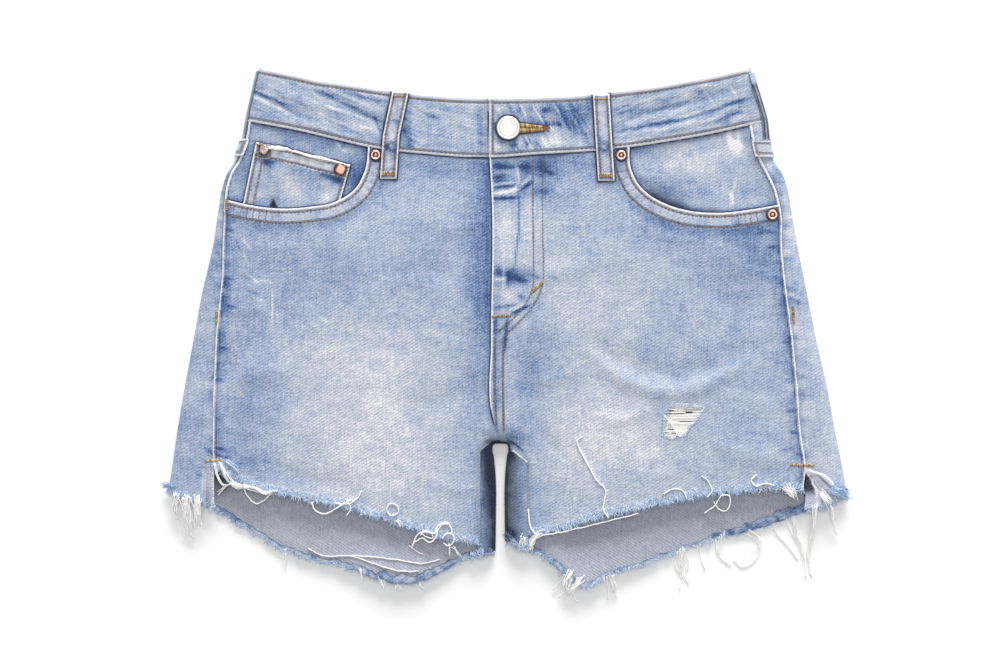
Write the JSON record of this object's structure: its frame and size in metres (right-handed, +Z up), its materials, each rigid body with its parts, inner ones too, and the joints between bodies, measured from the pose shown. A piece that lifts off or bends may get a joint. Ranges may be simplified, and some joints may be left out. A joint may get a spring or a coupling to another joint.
{
  "type": "denim shorts laid flat",
  "caption": "Five-pocket denim shorts with raw frayed hems, laid flat with the back down: curved front pockets, a coin pocket, belt loops and a shank button.",
  "frame": {"origin": "middle of the laid garment's bounding box, on the surface that its back lies on", "axes": "+Z up from the surface through the back to the front, +Y along the garment towards the waist, +X across it towards the wearer's left"},
  "size_m": [0.5084, 0.3924, 0.0132],
  "materials": {
    "denim": "light-washed twill, worn",
    "raw_weft": "frayed cotton",
    "silvered_metal": "satin silver plate",
    "copper": "worn copper plate"
  },
  "bodies": {
    "root": {"front-left": "denim", "front-right": "denim", "back-left": "denim", "back-right": "denim", "yoke-left": "denim", "yoke-right": "denim", "waistband": "denim", "pocket-facing-left": "denim", "pocket-facing-right": "denim", "coin-pocket": "denim", "belt-loop-left": "denim", "belt-loop-right": "denim", "belt-loop-side-left": "denim", "belt-loop-side-right": "denim", "fringe-front-left": "raw_weft", "fringe-front-right": "raw_weft", "fringe-back-left": "raw_weft", "fringe-back-right": "raw_weft", "button": "silvered_metal", "rivet-pocket-left": "copper", "rivet-pocket-right": "copper", "rivet-pocket-side": "copper", "rivet-coin-outer": "copper", "rivet-coin-inner": "copper"}
  },
  "joints": []
}
